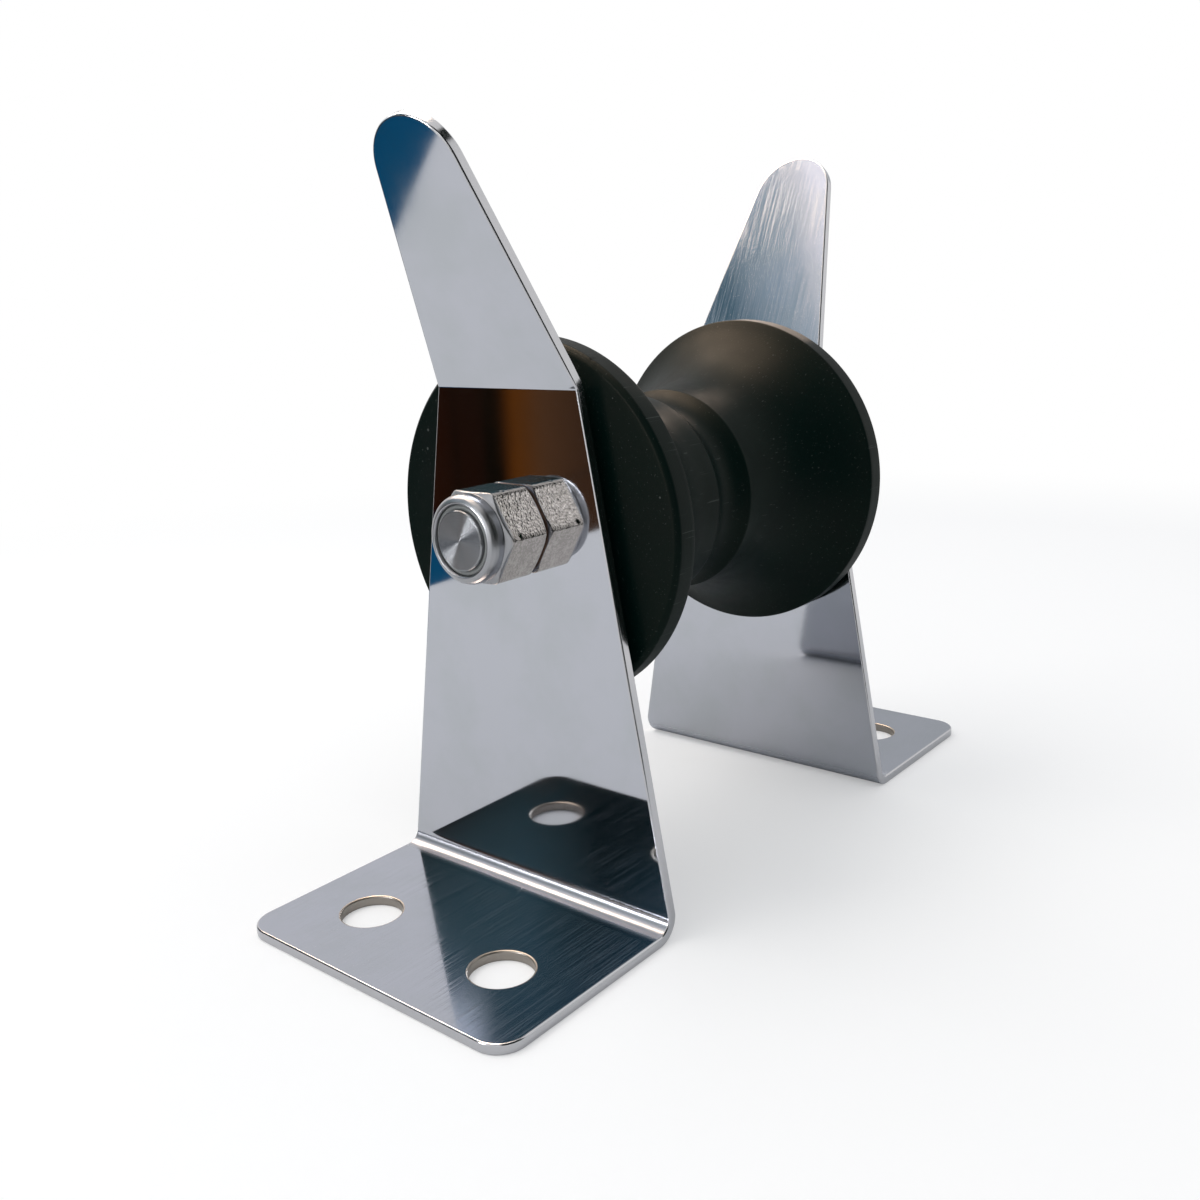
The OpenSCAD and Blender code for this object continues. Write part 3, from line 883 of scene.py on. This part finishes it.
def stagePlane(name, corners, material, glossyOnly=False):
    mesh = bpy.data.meshes.new(name)
    mesh.from_pydata(corners, [], [(0, 1, 2, 3)])
    mesh.materials.append(material)
    plane = bpy.data.objects.new(name, mesh)
    bpy.context.scene.collection.objects.link(plane)
    if glossyOnly:
        plane.visible_camera = False
        plane.visible_diffuse = False
        plane.visible_shadow = False
        plane.visible_transmission = False


def paleFloor():
    # a matt pale floor that fades into the white around it; seen straight it is white
    material, add = newMaterial("paleFloor")
    path = add("LightPath")
    tint = add("Mix", {
        "Factor": path.outputs["Is Camera Ray"], "A": stage["floor"], "B": "#ffffff"}, data_type="RGBA")
    place = add("TexCoord").outputs["Object"]
    away = add("VectorMath", {0: place}, operation="LENGTH")
    seen = add("Math", {0: path.outputs["Is Camera Ray"], 1: stage["lift"]}, operation="MULTIPLY")
    fade = add("MapRange", {
        "Value": away, "From Min": stage["fade"][0],
        "From Max": stage["fade"][1]}, interpolation_type="SMOOTHSTEP")
    fade = add("Math", {0: fade, 1: seen}, operation="MAXIMUM")
    matt = add("BsdfDiffuse", {"Color": tint})
    white = add("Emission", {"Color": "#ffffff"})
    mixed = add("MixShader", {0: fade, 1: matt, 2: white})
    return finished(material, mixed)


def tableCardPaint():
    card = tableCard
    material, add = newMaterial("tableCardPaint")
    place = add("TexCoord").outputs["Object"]
    split = add("SeparateXYZ", {"Vector": place})
    mask = {}
    for name, (axis, start, end, kind) in card["masks"].items():
        mask[name] = add("MapRange", {
            "Value": split.outputs[axis], "From Min": start, "From Max": end}, interpolation_type=kind)
    high = add("MapRange", {"Value": split.outputs["Z"], "From Max": card["height"]})
    levels = add("ValToRGB", {"Fac": high})
    setRamp(levels, [(z / card["height"], hexColour(code)) for z, code in card["levels"]])
    first, last = card["bands"][0][0], card["bands"][-1][0]
    sideways = add("MapRange", {"Value": split.outputs["Y"], "From Min": first, "From Max": last})
    bands = add("ValToRGB", {"Fac": sideways})
    setRamp(bands, [((y - first) / (last - first), hexColour(code)) for y, code in card["bands"]])
    # the blue foot and the teal both end part way along the card
    notTeal = add("Math", {0: mask["pastTeal"], 1: mask["belowSky"]}, operation="MULTIPLY")
    notBlue = add("Math", {0: mask["pastBlue"], 1: mask["inFoot"]}, operation="MULTIPLY")
    banded = add("Math", {0: mask["bandsStart"], 1: mask["bandsEnd"]}, operation="MULTIPLY")
    # a bright pane half way up at the near end
    pane = add("Math", {0: mask["paneStart"], 1: mask["paneTop"]}, operation="MULTIPLY")
    pane = add("Math", {0: pane, 1: mask["paneSide"]}, operation="MULTIPLY")
    tint = levels
    for amount, colour in ((notTeal, card["tealDark"]), (notBlue, card["footBrown"]),
                           (banded, bands), (pane, card["pane"])):
        tint = add("Mix", {"Factor": amount, "A": tint, "B": colour}, data_type="RGBA")
    paint = add("Emission", {"Color": tint})
    return finished(material, paint)


def flatCardPaint(name):
    # a card of one even colour that gives off its own light
    code, strength = paints[name]
    material, add = newMaterial(name)
    paint = add("Emission", {"Color": code, "Strength": strength})
    return finished(material, paint)


def uprightCard(name, start, end, low, high, material):
    # a wall from one place on the floor plan to another
    (x0, y0), (x1, y1) = start, end
    stagePlane(name, [(x0, y0, low), (x1, y1, low), (x1, y1, high), (x0, y0, high)], material,
               glossyOnly=True)


def makeStage():
    reach = stage["reach"]
    stagePlane("floor", [(-reach, -reach, 0), (reach, -reach, 0), (reach, reach, 0), (-reach, reach, 0)],
               paleFloor())
    uprightCard("tableCard", tableCard["near"], tableCard["far"], 0, tableCard["height"],
                tableCardPaint())
    painted = {name: flatCardPaint(name) for name in paints}
    for name, (paint, *shape) in uprightCards.items():
        uprightCard(name, *shape, painted[paint])
    for name, (paint, corners) in slopingCards.items():
        stagePlane(name, corners, painted[paint], glossyOnly=True)


keyLamp = dict(place=(-0.42, -0.28, 1.05), target=(0, 0, 0.1), size=(0.7, 0.5), radiance=3.6,
               colour="#fffaf4")
surround = dict(fill="#f4f6f9", strength=0.85)


def makeKeyLamp():
    # power that gives the wanted radiance: radiance * pi * area
    light = bpy.data.lights.new("softKey", "AREA")
    light.shape = "RECTANGLE"
    light.size, light.size_y = keyLamp["size"]
    light.energy = keyLamp["radiance"] * math.pi * light.size * light.size_y
    light.color = hexColour(keyLamp["colour"])[:3]
    lamp = bpy.data.objects.new("softKey", light)
    bpy.context.scene.collection.objects.link(lamp)
    lamp.location = keyLamp["place"]
    aim = Vector(keyLamp["target"]) - lamp.location
    lamp.rotation_euler = aim.to_track_quat("-Z", "Y").to_euler()
    lamp.visible_glossy = False


def makeWorld():
    world = bpy.data.worlds.new("softStudio")
    bpy.context.scene.world = world
    world.use_nodes = True
    world.node_tree.nodes.clear()
    add = partial(addNode, world.node_tree)
    path = add("LightPath")
    seen = add("Math", {
        0: path.outputs["Is Camera Ray"], 1: path.outputs["Is Glossy Ray"]}, operation="MAXIMUM")
    seen = add("Math", {0: seen, 1: path.outputs["Is Transmission Ray"]}, operation="MAXIMUM")
    fill = add("Background", {"Color": surround["fill"], "Strength": surround["strength"]})
    white = add("Background", {"Color": "#ffffff"})
    mix = add("MixShader", {0: seen, 1: fill, 2: white})
    add("OutputWorld", {"Surface": mix})


makeStage()
makeWorld()
makeKeyLamp()
print("stage lit")


# camera
view = dict(place=(0.21726, -0.28627, 0.16603), ahead=(-0.62084, 0.7436, -0.24822),
            right=(0.77341, 0.6327, -0.03902), lens=35.46, sensor=36.0)


def makeCamera():
    camera = bpy.data.cameras.new("camera")
    camera.lens, camera.sensor_width = view["lens"], view["sensor"]
    camera.clip_start = 0.01
    holder = bpy.data.objects.new("camera", camera)
    bpy.context.scene.collection.objects.link(holder)
    ahead, right = Vector(view["ahead"]).normalized(), Vector(view["right"])
    right = (right - right.dot(ahead) * ahead).normalized()
    up = right.cross(ahead)
    turned = Matrix((right, up, -ahead)).transposed().to_4x4()
    holder.matrix_world = Matrix.Translation(view["place"]) @ turned
    bpy.context.scene.camera = holder


makeCamera()
bpy.context.scene.view_settings.view_transform = "Standard"
